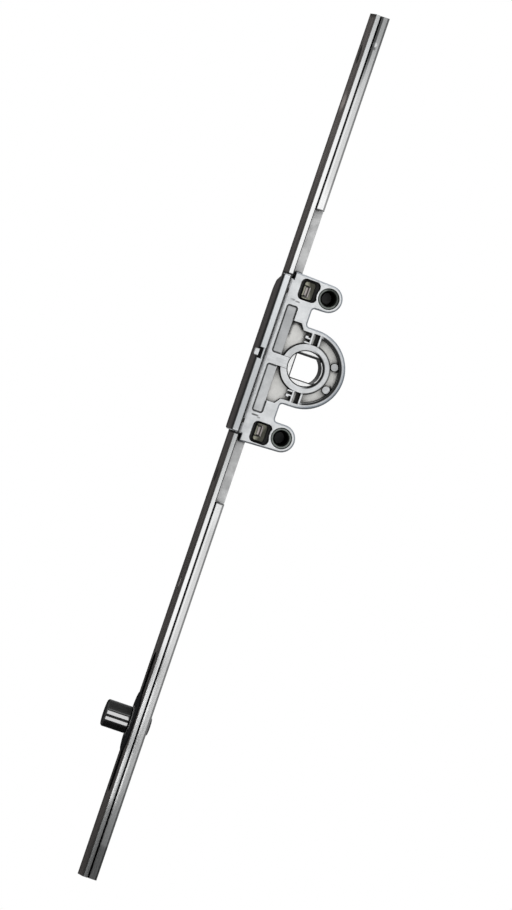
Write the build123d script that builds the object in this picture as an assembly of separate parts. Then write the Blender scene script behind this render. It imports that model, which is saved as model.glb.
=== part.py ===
from build123d import *
import os
from math import acos, cos, pi, radians, sin, sqrt, tan

# Window espagnolette with its gearbox, in millimetres.
# X runs from the front rail back to the round end of the gear case, Y across the rail, Z up along it.
# The origin is the centre of the square spindle hole. The handle and its screws come from the -Y side.

# Layout along the rail
backset = 15.0
rail_top_z = 104.7
rail_bottom_z = -161.2

# Front rail
rail_width = 16.0
rail_thickness = 1.4
rail_edge_chamfer = 0.25
fixing_hole_z = 77.6
fixing_hole_radius = 2.3
fixing_sink_radius = 4.4
fixing_sink_depth = 1.0

# Gearbox cap over the rail
cap_top_z = 24.6
cap_bottom_z = -23.8
cap_flange_width = 2.0
cap_web = 0.95
cap_flange_depth = 0.75
cap_clearance = 0.02
cap_near_corner = 0.6
cap_far_corner_bottom = 1.6
cap_slope_start_y = -5.0
cap_slope_drop = 2.3
cap_far_cut = 2.6
cap_far_corner_top = 2.2
cap_edge_chamfer = 0.3
notch_half_height = 1.6
notch_depth = 0.9

# Alignment pip in the cap
pip_z = 0.3
pip_size_y = 2.6
pip_size_z = 2.0
pip_proud = 0.95
pip_edge_offset = 1.0
pip_radius = 0.3

# Gear case, outside
case_side_wall = 1.8
case_front_rebate = 0.4
case_corner_rebate = 0.9
case_corner_z = 26.1
case_shoulder_z = 24.0
seat_side_wall = 1.1
lobe_radius = 4.1
neck_back_x = -3.6
round_end_radius = 11.85
inside_corner_radius = 0.9
outer_edge_chamfer = 0.45

# Gear case, face pattern
bridge_half_height = 1.62
collar_outer_radius = 7.25
collar_drop = 0.18
hook_x = -2.1
hook_z = (7.45, 8.75)
hook_size = (1.5, 0.42)
hook_tip = 0.75
panel_depth = 0.45
panel_front_x = -11.1
panel_step_x = -8.0
panel_head_x = -7.6
panel_top_z = 16.5
well_depth = 2.2
well_top_z = 12.3
well_shoulder_x = -5.2
well_slope_x = -3.9
well_shoulder_z = 10.5
crescent_depth = 2.0
crescent_outer_radius = 10.0
rib_x = (-1.0, 1.5)
rib_width = 0.5
rib_pocket_depth = 2.5
rib_pocket_top_z = 10.6
far_depth_share = 0.55
pad_radius = 1.1
pad_height = 1.4
pad_places = ((8.15, 3.1), (7.9, -3.95))
rivet_pocket_depth = 2.5
rivet_pocket_size = (5.9, 6.4)
rivet_pocket_centre = (-6.25, 21.95)
rivet_pocket_corner = 1.5
post_ring_wall = 0.5

# Handle screws and their steel sleeves
screw_spacing = 43.0
sleeve_outer_radius = 3.15
sleeve_bore_radius = 2.1
sleeve_recess = 0.35
sleeve_mouth_chamfer = 0.45
post_floor = 0.9

# Square spindle and follower
spindle_hole = 7.2
spindle_corner_radius = 0.3
spring_relief_radius = 4.95
journal_radius = 5.42
journal_clearance = 0.03
journal_rim_chamfer = 0.3
follower_face_recess = 0.45
gear_near_y = -1.0
gear_far_y = 2.5

# Gear and rack
stroke = 15.0
gear_teeth = 14
rack_teeth = 10
pressure_angle = 20.0
gear_addendum = 1.16
rack_addendum = 1.05
root_clearance = 0.19
backlash = 0.12
tip_clearance = 0.25
side_clearance = 0.1

# Rack bar and drive rods
rod_gap = 0.6
rod_depth = 2.5
rod_width = 12.0
rod_wall = 1.2
rod_outer_bend = 0.9
rod_edge_chamfer = 0.3
rod_start_z = 45.1
rod_end_gap = 0.05
bar_side_gap = 0.8
bar_clearance = 0.1
tongue_length = 6.4
tongue_thickness = 0.9
slot_end_spare = 0.7
fixing_slot_half_width = 2.7

# Rivets
press_clearance = 0.02
rail_rivet_half_width = 0.65
rail_rivet_z = 20.0
rail_rivet_wall = 0.25
rail_rivet_depth = 3.0
joint_rivet_half_width = 1.05
joint_rivet_side_gap = 0.4
joint_rivet_setback = 3.6
joint_rivet_head_half_width = 1.7
joint_rivet_head = 0.5
joint_rivet_head_chamfer = 0.2
case_rivet_size = (1.5, 3.2)
case_rivet_chamfer = 0.15
case_rivet_centre = (-6.6, 21.35)
case_rivet_proud = 0.3
case_rivet_head_size = (3.0, 4.6)
case_rivet_head = 0.6
rivet_washer_size = (3.4, 5.3)
rivet_washer_centre = (-6.3, 21.85)
rivet_washer_thickness = 1.2
rivet_washer_corner = 0.8
rivet_washer_chamfer = 0.2
guide_rivet_z = -70.9
guide_rivet_radius = 1.5
guide_rivet_head_radius = 3.1
guide_rivet_head = 0.7
guide_rivet_play = 0.15

# Locking roller on its stud
roller_z = -113.8
roller_radius = 4.1
roller_length = 7.5
roller_chamfer = 0.35
roller_clearance = 0.04
roller_end_gap = 0.06
stud_radius = 2.4
stud_shoulder_radius = 3.0
stud_rivet_radius = 2.0
stud_head_radius = 3.1
stud_head_height = 0.55
stud_head_sink = 0.05
stud_head_side_gap = 0.1
stud_tail_radius = 3.0
stud_tail_proud = 0.75
stud_tail_chamfer = 0.45
stud_chamfer = 0.25
cam_slot_half_length = 21.5
cam_slot_side_clearance = 0.3
shoe_length = 18.4
shoe_width = 12.0
shoe_thickness = 0.6
shoe_gap = 0.12
shoe_edge_chamfer = 0.25
cam_washer_radius = 4.6
cam_washer_thickness = 0.35

# Planes that several pieces share
cap_front_x = -backset
rail_front_x = cap_front_x + cap_web
rail_back_x = rail_front_x + rail_thickness
cap_back_x = rail_front_x + cap_flange_depth
rail_half_width = rail_width / 2
cap_half_width = rail_half_width + cap_flange_width
case_front_x = rail_back_x + case_front_rebate
case_corner_x = rail_back_x + case_corner_rebate
rod_front_x = rail_back_x + rod_gap
rod_back_x = rod_front_x + rod_depth
web_back_x = rod_front_x + rod_wall
rod_inner_half_width = rod_width / 2 - rod_wall
bar_half_width = rod_inner_half_width - bar_side_gap
joint_rivet_y = rod_inner_half_width - joint_rivet_side_gap - joint_rivet_head_half_width
channel_half_width = bar_half_width + bar_clearance
near_face_y = -(channel_half_width + case_side_wall)
far_face_y = channel_half_width + case_side_wall
seat_half_width = channel_half_width + seat_side_wall
rail_rivet_y = channel_half_width + rail_rivet_wall + rail_rivet_half_width
split_y = gear_far_y + side_clearance
post_z = screw_spacing / 2
post_floor_y = far_face_y - post_floor
through = 60.0
overcut = 1.0

# Gear proportions from the stroke of a quarter turn
pitch_radius = stroke / (pi / 2)
tooth_pitch = 2 * pi * pitch_radius / gear_teeth
tooth_thickness = (tooth_pitch - backlash) / 2
base_radius = pitch_radius * cos(radians(pressure_angle))
gear_tip_radius = pitch_radius + gear_addendum
gear_root_radius = pitch_radius - rack_addendum - root_clearance
rack_tip_x = -(pitch_radius - rack_addendum)
rack_root_x = -(gear_tip_radius + root_clearance)
cavity_radius = gear_tip_radius + tip_clearance
channel_back_x = rod_back_x + bar_clearance
tooth_channel_back_x = rack_tip_x + tip_clearance
cavity_near_y = gear_near_y - side_clearance
follower_near_y = near_face_y + follower_face_recess
follower_far_y = far_face_y - follower_face_recess

# Stack of pieces on the cam stud, outward from the rail
shoe_back_x = rail_front_x - shoe_gap
shoe_front_x = shoe_back_x - shoe_thickness
cam_washer_front_x = shoe_front_x - cam_washer_thickness
roller_back_x = cam_washer_front_x - roller_end_gap
roller_front_x = roller_back_x - roller_length
stud_head_front_x = roller_front_x + stud_head_sink
stud_head_back_x = stud_head_front_x + stud_head_height


def slab(sketch, y_from, y_to):
    """A sketch drawn in X and Z, made solid between two values of Y."""
    return extrude(Plane.XZ.offset(-y_to) * sketch, y_to - y_from)


def plate(sketch, x_from, x_to):
    """A sketch drawn in Y and Z, made solid between two values of X."""
    return extrude(Plane.YZ.offset(x_from) * sketch, x_to - x_from)


def block(x_span, y_span, z_span):
    """A rectangular block between three pairs of limits."""
    size = [span[1] - span[0] for span in (x_span, y_span, z_span)]
    middle = [(span[0] + span[1]) / 2 for span in (x_span, y_span, z_span)]
    return Pos(*middle) * Box(*size)


def pin_x(radius, x_from, x_to, y=0.0, z=0.0):
    """A round pin along X."""
    return Pos((x_from + x_to) / 2, y, z) * Rot(0, 90, 0) * Cylinder(radius, x_to - x_from)


def pin_y(radius, y_from, y_to, x=0.0, z=0.0):
    """A round pin along Y."""
    return Pos(x, (y_from + y_to) / 2, z) * Rot(90, 0, 0) * Cylinder(radius, y_to - y_from)


def bar_x(half_width, x_from, x_to, y=0.0, z=0.0):
    """A square bar along X."""
    return block((x_from, x_to), (y - half_width, y + half_width), (z - half_width, z + half_width))


def slot_x(half_length, half_width, x_from, x_to, z):
    """A slot with round ends, long in Z and cut along X."""
    return plate(Pos(0, z) * Rot(0, 0, 90) * SlotOverall(2 * half_length, 2 * half_width), x_from, x_to)


def both_ends(part):
    """The part and its mirror image in the spindle's level plane."""
    return part + mirror(part, Plane.XY)


def recess(sketch, face_y, depth):
    """A cutter that sinks a sketch into a broad face of the case."""
    return extrude(Plane.XZ.offset(-face_y) * sketch, depth, dir=(0, -1 if face_y > 0 else 1, 0))


def front_rail():
    """The flat strip that the whole espagnolette hangs on."""
    across = (-rail_half_width, rail_half_width)
    rail = block((rail_front_x, rail_back_x), across, (rail_bottom_z, rail_top_z))
    rail = chamfer(rail.edges().filter_by(Axis.Z), rail_edge_chamfer)
    cut_from, cut_to = rail_front_x - overcut, rail_back_x + overcut
    cam_slot_half_width = stud_shoulder_radius + cam_slot_side_clearance
    rail -= slot_x(cam_slot_half_length, cam_slot_half_width, cut_from, cut_to, roller_z)
    rail -= pin_x(fixing_hole_radius, cut_from, cut_to, z=fixing_hole_z)
    sink_place = Pos(rail_front_x + fixing_sink_depth / 2, 0, fixing_hole_z) * Rot(0, 90, 0)
    rail -= sink_place * Cone(fixing_sink_radius, fixing_hole_radius, fixing_sink_depth)
    rail -= pin_x(guide_rivet_radius + press_clearance, cut_from, cut_to, z=guide_rivet_z)
    for y in (-rail_rivet_y, rail_rivet_y):
        for z in (-rail_rivet_z, rail_rivet_z):
            rail -= bar_x(rail_rivet_half_width + press_clearance, cut_from, cut_to, y, z)
    return rail


def pip_place():
    """Limits in Y and Z of the alignment pip."""
    y_from = -cap_half_width + pip_edge_offset
    return (y_from, y_from + pip_size_y), (pip_z - pip_size_z / 2, pip_z + pip_size_z / 2)


def cap_outline():
    """The outline of the cap in Y and Z, whose top falls away towards its far side."""
    slope_end = (cap_half_width - cap_far_cut, cap_top_z - cap_slope_drop)
    far_corner = (cap_half_width, cap_top_z - cap_slope_drop - cap_far_cut)
    corners = {
        (-cap_half_width, cap_top_z): cap_near_corner,
        (cap_slope_start_y, cap_top_z): 0,
        slope_end: cap_far_corner_top,
        far_corner: cap_far_corner_top,
        (cap_half_width, cap_bottom_z): cap_far_corner_bottom,
        (-cap_half_width, cap_bottom_z): cap_near_corner,
    }
    outline = make_face(Polyline(*corners, close=True))
    for (y, z), radius in corners.items():
        if radius:
            outline = fillet(outline.vertices().sort_by_distance((y, z))[0], radius)
    return outline - Pos(-cap_half_width, pip_z) * Rectangle(2 * notch_depth, 2 * notch_half_height)


def gearbox_cap():
    """The pressed cover that clips over the rail in front of the gear case."""
    cap = plate(cap_outline(), cap_front_x, cap_back_x)
    cap = chamfer(cap.edges().group_by(Axis.X)[0], cap_edge_chamfer)
    inside = rail_half_width + cap_clearance
    length = (cap_bottom_z - overcut, cap_top_z + overcut)
    cap -= block((rail_front_x, cap_back_x + overcut), (-inside, inside), length)
    y_span, z_span = pip_place()
    cap -= block((cap_front_x - overcut, rail_front_x + overcut), y_span, z_span)
    return cap


def alignment_pip():
    """The small lug in the cap that marks the height of the spindle."""
    y_span, z_span = pip_place()
    y_span = (y_span[0] + cap_clearance, y_span[1] - cap_clearance)
    z_span = (z_span[0] + cap_clearance, z_span[1] - cap_clearance)
    pip = block((cap_front_x - pip_proud, rail_front_x), y_span, z_span)
    return fillet(pip.edges().group_by(Axis.X)[0], pip_radius)


def case_outline():
    """The outline that both halves of the gear case share, in X and Z."""
    half = make_face(
        Polyline(
            (case_front_x, 0),
            (case_front_x, case_shoulder_z),
            (case_corner_x, case_shoulder_z),
            (case_corner_x, case_corner_z),
            (0, post_z + lobe_radius),
            (0, post_z - lobe_radius),
            (neck_back_x, post_z - lobe_radius),
            (neck_back_x, round_end_radius),
            (0, round_end_radius),
            (0, 0),
            (case_front_x, 0),
        )
    )
    half += Pos(0, post_z) * Circle(lobe_radius)
    outline = half + mirror(half, Plane.XZ) + Circle(round_end_radius)
    neck = [vertex for vertex in outline.vertices() if abs(vertex.X - neck_back_x) < 0.01]
    return fillet(neck, inside_corner_radius)


def panel_sketch():
    """The long shallow panel beside the front edge, upper one."""
    stem_middle = ((panel_front_x + panel_step_x) / 2, (bridge_half_height + panel_top_z) / 2)
    stem_size = (panel_step_x - panel_front_x, panel_top_z - bridge_half_height)
    head_middle = ((panel_front_x + panel_head_x) / 2, (well_top_z + panel_top_z) / 2)
    head_size = (panel_head_x - panel_front_x, panel_top_z - well_top_z)
    panel = Pos(*stem_middle) * Rectangle(*stem_size) + Pos(*head_middle) * Rectangle(*head_size)
    corners = [v for v in panel.vertices() if v.X < panel_front_x + 0.01 or v.Y > panel_top_z - 0.01]
    return fillet(corners, inside_corner_radius)


def well_sketch():
    """The deep well between the panel and the collar, upper one."""
    rib_side_x = rib_x[0] - rib_width / 2
    outline = make_face(
        Polyline(
            (panel_step_x, bridge_half_height),
            (panel_step_x, well_top_z),
            (well_shoulder_x, well_top_z),
            (well_slope_x, well_shoulder_z),
            (rib_side_x, well_shoulder_z),
            (rib_side_x, bridge_half_height),
            (panel_step_x, bridge_half_height),
        )
    )
    hooks = Sketch()
    for z in hook_z:
        hooks += Pos(hook_x, z) * Rectangle(*hook_size)
    tip_place = Pos(hook_x - hook_size[0] / 2 + hook_tip / 2, hook_z[1] + hook_size[1] / 2)
    hooks += tip_place * Rectangle(hook_tip, hook_tip)
    return outline - Circle(collar_outer_radius) - hooks


def crescent_sketch():
    """The curved well between the collar and the rim of the round end."""
    start_x = rib_x[1] + rib_width / 2
    ring = Circle(crescent_outer_radius) - Circle(collar_outer_radius)
    keep = Pos(start_x + round_end_radius, 0) * Rectangle(2 * round_end_radius, 4 * round_end_radius)
    return ring & keep


def rib_pocket_sketch():
    """The narrow pocket between the two radial ribs, upper one."""
    left = rib_x[0] + rib_width / 2
    right = rib_x[1] - rib_width / 2
    bottom = sqrt(collar_outer_radius**2 - max(abs(left), abs(right)) ** 2)
    middle = Pos((left + right) / 2, (bottom + rib_pocket_top_z) / 2)
    return middle * Rectangle(right - left, rib_pocket_top_z - bottom)


def rivet_pocket_sketch():
    """The squarish pocket round a case rivet, waisted beside the screw post, upper one."""
    pocket = Pos(*rivet_pocket_centre) * RectangleRounded(*rivet_pocket_size, rivet_pocket_corner)
    return pocket - Pos(0, post_z) * Circle(sleeve_outer_radius + post_ring_wall)


def face_pattern(face_y, depth_share):
    """Every well and panel that is sunk into one broad face of the case."""
    upper = recess(panel_sketch(), face_y, panel_depth)
    upper += recess(well_sketch(), face_y, well_depth * depth_share)
    upper += recess(rib_pocket_sketch(), face_y, rib_pocket_depth * depth_share)
    upper += recess(rivet_pocket_sketch(), face_y, rivet_pocket_depth * depth_share)
    pattern = both_ends(upper) + recess(crescent_sketch(), face_y, crescent_depth * depth_share)
    bridge = Pos(-collar_outer_radius, 0) * Rectangle(2 * collar_outer_radius, 2 * bridge_half_height)
    pattern += recess(Circle(collar_outer_radius) - bridge, face_y, collar_drop)
    return pattern


def ejector_pads():
    """The two round marks that stand on the floor of the near crescent."""
    floor_y = near_face_y + crescent_depth
    return [pin_y(pad_radius, floor_y - pad_height, floor_y, x, z) for x, z in pad_places]


def works_cavity():
    """The room inside the case for gear, rack and follower, with the bores for what holds it together."""
    front_x = rail_back_x - overcut
    across = (near_face_y - overcut, far_face_y + overcut)
    length = (-through, through)
    cavity = pin_y(cavity_radius, cavity_near_y, split_y)
    cavity += block((front_x, channel_back_x), (-channel_half_width, channel_half_width), length)
    cavity += block((front_x, tooth_channel_back_x), (cavity_near_y, split_y), length)
    cavity += pin_y(journal_radius + journal_clearance, *across)
    sleeve_hole = pin_y(sleeve_outer_radius + press_clearance, across[0], post_floor_y, z=post_z)
    x, z = case_rivet_centre
    half_x = case_rivet_size[0] / 2 + press_clearance
    half_z = case_rivet_size[1] / 2 + press_clearance
    rivet_hole = block((x - half_x, x + half_x), across, (z - half_z, z + half_z))
    cavity += both_ends(sleeve_hole + rivet_hole)
    hole_back_x = rail_back_x + rail_rivet_depth
    for y in (-rail_rivet_y, rail_rivet_y):
        hole = bar_x(rail_rivet_half_width + press_clearance, front_x, hole_back_x, y, rail_rivet_z)
        cavity += both_ends(hole)
    return cavity


def case_half(y_from, y_to, face_y, depth_share):
    """One half of the die-cast case, from the parting plane to its broad face."""
    half = slab(case_outline(), y_from, y_to)
    rim = half.edges().group_by(Axis.Y)[0 if face_y < 0 else -1]
    half = chamfer(rim, outer_edge_chamfer)
    seat_y = (max(y_from, -seat_half_width), min(y_to, seat_half_width))
    half += block((rail_back_x, case_corner_x), seat_y, (-case_shoulder_z, case_shoulder_z))
    return half - works_cavity() - face_pattern(face_y, depth_share)


def screw_sleeve(end):
    """The steel sleeve that takes a handle screw, upper for end 1 and lower for end -1."""
    y_from = near_face_y + sleeve_recess
    sleeve = pin_y(sleeve_outer_radius, y_from, post_floor_y, z=end * post_z)
    sleeve -= pin_y(sleeve_bore_radius, y_from - overcut, post_floor_y + overcut, z=end * post_z)
    mouth = sleeve.edges().group_by(Axis.Y)[0].sort_by(SortBy.RADIUS)[0]
    return chamfer(mouth, sleeve_mouth_chamfer)


def washer_floor_y():
    """The floor of the near rivet pocket, where the washer lies."""
    return near_face_y + rivet_pocket_depth


def case_rivet(end):
    """The flat rivet that clamps both halves of the case, headed in the far pocket."""
    x, z = case_rivet_centre
    near_end = washer_floor_y() - rivet_washer_thickness - case_rivet_proud
    head_y = far_face_y - rivet_pocket_depth * far_depth_share
    shank = Pos(x, end * z) * Rectangle(*case_rivet_size)
    head = Pos(x, end * z) * RectangleRounded(*case_rivet_head_size, rivet_washer_corner)
    rivet = slab(shank, near_end, head_y)
    rivet = chamfer(rivet.edges().group_by(Axis.Y)[0], case_rivet_chamfer)
    return rivet + slab(head, head_y, head_y + case_rivet_head)


def rivet_washer(end):
    """The thick washer under the peened end of a case rivet."""
    outline = Pos(rivet_washer_centre[0], end * rivet_washer_centre[1])
    outline *= RectangleRounded(*rivet_washer_size, rivet_washer_corner)
    hole_size = [size + 2 * press_clearance for size in case_rivet_size]
    outline -= Pos(case_rivet_centre[0], end * case_rivet_centre[1]) * Rectangle(*hole_size)
    top_y = washer_floor_y() - rivet_washer_thickness
    washer = slab(outline, top_y, washer_floor_y())
    top_face = washer.faces().sort_by(Axis.Y)[0]
    return chamfer(top_face.outer_wire().edges(), rivet_washer_chamfer)


def rail_rivets(end):
    """Two small square rivets that hold the case to the rail, hidden by the cap."""
    rivets = []
    for y in (-rail_rivet_y, rail_rivet_y):
        back_x = rail_back_x + rail_rivet_depth
        rivets.append(bar_x(rail_rivet_half_width, rail_front_x, back_x, y, end * rail_rivet_z))
    return rivets


def guide_rivet():
    """The headed rivet that holds the lower rod to the rail and lets it slide."""
    head_front_x = web_back_x + guide_rivet_play
    head_back_x = head_front_x + guide_rivet_head
    rivet = pin_x(guide_rivet_radius, rail_front_x, head_front_x, z=guide_rivet_z)
    return rivet + pin_x(guide_rivet_head_radius, head_front_x, head_back_x, z=guide_rivet_z)


def half_tooth_angle(radius):
    """Half the angle that an involute gear tooth covers at a radius."""
    lean = radians(pressure_angle)
    here = acos(min(1.0, base_radius / radius))
    return tooth_thickness / (2 * pitch_radius) + (tan(lean) - lean) - (tan(here) - here)


def at_angle(radius, angle):
    """The point at a radius and an angle."""
    return (radius * cos(angle), radius * sin(angle))


def pinion_sketch():
    """The toothed outline of the follower, with a tooth towards the rail and flanks close to involutes."""
    flank_radii = [base_radius + (gear_tip_radius - base_radius) * step / 2 for step in range(3)]
    root_half = half_tooth_angle(base_radius)
    points = []
    for tooth in range(gear_teeth):
        middle = pi + tooth * 2 * pi / gear_teeth
        rising = [at_angle(radius, middle - half_tooth_angle(radius)) for radius in flank_radii]
        falling = [at_angle(radius, middle + half_tooth_angle(radius)) for radius in reversed(flank_radii)]
        points.append(at_angle(gear_root_radius, middle - root_half))
        points += rising + falling
        points.append(at_angle(gear_root_radius, middle + root_half))
    return make_face(Polyline(*points, close=True))


def spindle_follower():
    """The gear that the square spindle turns, with room behind the spindle for a clamping spring."""
    journals = pin_y(journal_radius, follower_near_y, follower_far_y)
    ends = journals.edges().group_by(Axis.Y)
    follower = chamfer(ends[0] + ends[-1], journal_rim_chamfer)
    follower += slab(pinion_sketch(), gear_near_y, gear_far_y)
    hole = RectangleRounded(spindle_hole, spindle_hole, spindle_corner_radius)
    relief = Pos(spring_relief_radius / 2, 0) * Rectangle(spring_relief_radius, spindle_hole)
    hole += relief & Circle(spring_relief_radius)
    return follower - slab(hole, near_face_y - overcut, far_face_y + overcut)


def rack_tooth_sketch(z):
    """One rack tooth with straight flanks, centred at a height."""
    lean = tan(radians(pressure_angle))
    root_half = tooth_thickness / 2 + (-pitch_radius - rack_root_x) * lean
    tip_half = tooth_thickness / 2 - (rack_tip_x + pitch_radius) * lean
    return make_face(
        Polyline(
            (rack_root_x - 0.3, z - root_half),
            (rack_root_x, z - root_half),
            (rack_tip_x, z - tip_half),
            (rack_tip_x, z + tip_half),
            (rack_root_x, z + root_half),
            (rack_root_x - 0.3, z + root_half),
            (rack_root_x - 0.3, z - root_half),
        )
    )


def joint_rivet_holes(end):
    """A cutter for the pair of holes where a rod is riveted to the rack bar."""
    z = end * (rod_start_z + joint_rivet_setback)
    half_width = joint_rivet_half_width + press_clearance
    cut_from, cut_to = rod_front_x - overcut, rod_back_x + overcut
    near_hole = bar_x(half_width, cut_from, cut_to, -joint_rivet_y, z)
    return near_hole + bar_x(half_width, cut_from, cut_to, joint_rivet_y, z)


def rack_bar():
    """The toothed bar that the follower drives, with a tongue for each rod."""
    bar = block((rod_front_x, rod_back_x), (-bar_half_width, bar_half_width), (-rod_start_z, rod_start_z))
    tongue_x = (web_back_x, web_back_x + tongue_thickness)
    tongue_z = (-rod_start_z - tongue_length, rod_start_z + tongue_length)
    bar += block(tongue_x, (-bar_half_width, bar_half_width), tongue_z)
    toothed_half = rack_teeth * tooth_pitch / 2
    teeth_x = (rack_root_x, rod_back_x + overcut)
    bar -= block(teeth_x, (cavity_near_y, split_y), (-toothed_half, toothed_half))
    for step in range(rack_teeth):
        z = (step - (rack_teeth - 1) / 2) * tooth_pitch
        bar += slab(rack_tooth_sketch(z), gear_near_y, gear_far_y)
    return bar - joint_rivet_holes(1) - joint_rivet_holes(-1)


def rod_channel(z_from, z_to, end):
    """A rod of U section with its web towards the rail, bored for its joint rivets."""
    middle_x = (rod_front_x + rod_back_x) / 2
    section = Pos(middle_x, 0) * Rectangle(rod_depth, rod_width)
    section = fillet([v for v in section.vertices() if v.X < middle_x], rod_outer_bend)
    rear = section.vertices().group_by(Axis.X)[-1]
    section = chamfer(rear, rod_edge_chamfer)
    hollow_x = (web_back_x + rod_back_x) / 2
    section -= Pos(hollow_x, 0) * Rectangle(rod_back_x - web_back_x, 2 * rod_inner_half_width)
    rod = extrude(Plane.XY.offset(z_from) * section, z_to - z_from)
    return rod - joint_rivet_holes(end)


def drive_rod_upper():
    """The short rod above the gearbox, slotted behind the rail's fixing hole."""
    rod = rod_channel(rod_start_z + rod_end_gap, rail_top_z, 1)
    half_length = stroke + fixing_hole_radius + slot_end_spare
    cut_x = (rod_front_x - overcut, rod_back_x + overcut)
    return rod - slot_x(half_length, fixing_slot_half_width, *cut_x, fixing_hole_z)


def drive_rod_lower():
    """The long rod below the gearbox, which carries the locking roller."""
    rod = rod_channel(rail_bottom_z, -rod_start_z - rod_end_gap, -1)
    half_length = stroke + guide_rivet_radius + slot_end_spare
    half_width = guide_rivet_radius + guide_rivet_play
    cut_x = (rod_front_x - overcut, rod_back_x + overcut)
    rod -= slot_x(half_length, half_width, *cut_x, guide_rivet_z)
    return rod - pin_x(stud_rivet_radius + press_clearance, *cut_x, z=roller_z)


def rod_rivets(end):
    """The pair of square rivets that joins a rod to the rack bar's tongue."""
    rivets = []
    z = end * (rod_start_z + joint_rivet_setback)
    tongue_back_x = web_back_x + tongue_thickness
    head_back_x = tongue_back_x + joint_rivet_head
    for y in (-joint_rivet_y, joint_rivet_y):
        rivet = bar_x(joint_rivet_half_width, rod_front_x, tongue_back_x, y, z)
        head = bar_x(joint_rivet_head_half_width, tongue_back_x, head_back_x, y, z)
        rivets.append(rivet + chamfer(head.edges().group_by(Axis.X)[-1], joint_rivet_head_chamfer))
    return rivets


def cam_stud():
    """The stepped stud riveted into the lower rod."""
    steps = [
        (stud_tail_radius, web_back_x, rod_back_x + stud_tail_proud),
        (stud_rivet_radius, rod_front_x, web_back_x),
        (stud_shoulder_radius, shoe_front_x, rod_front_x),
        (stud_radius, stud_head_back_x, shoe_front_x),
        (stud_head_radius, stud_head_front_x, stud_head_back_x),
    ]
    stud = pin_x(*steps[0], z=roller_z)
    for radius, x_from, x_to in steps[1:]:
        stud += pin_x(radius, x_from, x_to, z=roller_z)
    stud = chamfer(stud.edges().group_by(Axis.X)[0], stud_chamfer)
    return chamfer(stud.edges().group_by(Axis.X)[-1], stud_tail_chamfer)


def cam_shoe():
    """The oval plastic slide that keeps the stud square to the rail."""
    outline = Pos(0, roller_z) * Rot(0, 0, 90) * SlotOverall(shoe_length, shoe_width)
    shoe = plate(outline, shoe_front_x, shoe_back_x)
    shoe = chamfer(shoe.edges().group_by(Axis.X)[0], shoe_edge_chamfer)
    hole_x = (shoe_front_x - overcut, shoe_back_x + overcut)
    return shoe - pin_x(stud_shoulder_radius + press_clearance, *hole_x, z=roller_z)


def cam_washer():
    """The thin washer between the slide and the roller."""
    disc = pin_x(cam_washer_radius, cam_washer_front_x, shoe_front_x, z=roller_z)
    hole_x = (cam_washer_front_x - overcut, shoe_front_x + overcut)
    return disc - pin_x(stud_radius + press_clearance, *hole_x, z=roller_z)


def cam_roller():
    """The locking roller that turns on the stud, whose head is sunk into it."""
    roller = pin_x(roller_radius, roller_front_x, roller_back_x, z=roller_z)
    roller = chamfer(roller.edges().filter_by(GeomType.CIRCLE), roller_chamfer)
    bore_x = (roller_front_x - overcut, roller_back_x + overcut)
    sink_x = (roller_front_x - overcut, stud_head_back_x + roller_end_gap)
    roller -= pin_x(stud_head_radius + stud_head_side_gap, *sink_x, z=roller_z)
    return roller - pin_x(stud_radius + roller_clearance, *bore_x, z=roller_z)


pieces = {
    "front_rail": front_rail(),
    "gearbox_cap": gearbox_cap(),
    "alignment_pip": alignment_pip(),
    "case_near_half": case_half(near_face_y, split_y, near_face_y, 1.0) + ejector_pads(),
    "case_far_half": case_half(split_y, far_face_y, far_face_y, far_depth_share),
    "guide_rivet": guide_rivet(),
    "spindle_follower": spindle_follower(),
    "rack_bar": rack_bar(),
    "drive_rod_upper": drive_rod_upper(),
    "drive_rod_lower": drive_rod_lower(),
    "cam_stud": cam_stud(),
    "cam_shoe": cam_shoe(),
    "cam_washer": cam_washer(),
    "cam_roller": cam_roller(),
}
for name, end in (("upper", 1), ("lower", -1)):
    pieces["screw_sleeve_" + name] = screw_sleeve(end)
    pieces["case_rivet_" + name] = case_rivet(end)
    pieces["rivet_washer_" + name] = rivet_washer(end)
    pieces["rail_rivets_" + name] = Compound(children=rail_rivets(end))
    pieces["rod_rivets_" + name] = Compound(children=rod_rivets(end))

os.makedirs("parts", exist_ok=True)
for name, piece in pieces.items():
    export_step(piece, "parts/" + name + ".step")
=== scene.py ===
from math import cos, pi, radians, sin

import bpy
import numpy as np
from mathutils import Matrix, Vector


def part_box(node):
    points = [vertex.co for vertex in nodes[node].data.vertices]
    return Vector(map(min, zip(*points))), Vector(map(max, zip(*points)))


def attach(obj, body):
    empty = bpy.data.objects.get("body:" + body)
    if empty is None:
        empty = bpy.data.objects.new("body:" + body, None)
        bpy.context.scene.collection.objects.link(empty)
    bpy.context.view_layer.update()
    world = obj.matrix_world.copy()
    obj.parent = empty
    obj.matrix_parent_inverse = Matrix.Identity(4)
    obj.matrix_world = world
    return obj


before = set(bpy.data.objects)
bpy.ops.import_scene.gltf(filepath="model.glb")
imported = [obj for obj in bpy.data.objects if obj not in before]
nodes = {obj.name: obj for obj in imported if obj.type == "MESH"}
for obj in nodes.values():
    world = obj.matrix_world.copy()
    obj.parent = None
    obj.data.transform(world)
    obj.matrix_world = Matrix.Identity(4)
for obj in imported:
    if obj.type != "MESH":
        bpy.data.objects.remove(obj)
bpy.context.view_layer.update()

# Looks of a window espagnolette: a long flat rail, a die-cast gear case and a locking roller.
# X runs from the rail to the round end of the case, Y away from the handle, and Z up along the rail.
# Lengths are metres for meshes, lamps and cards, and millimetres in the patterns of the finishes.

MM = 0.001


# Camera

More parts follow.
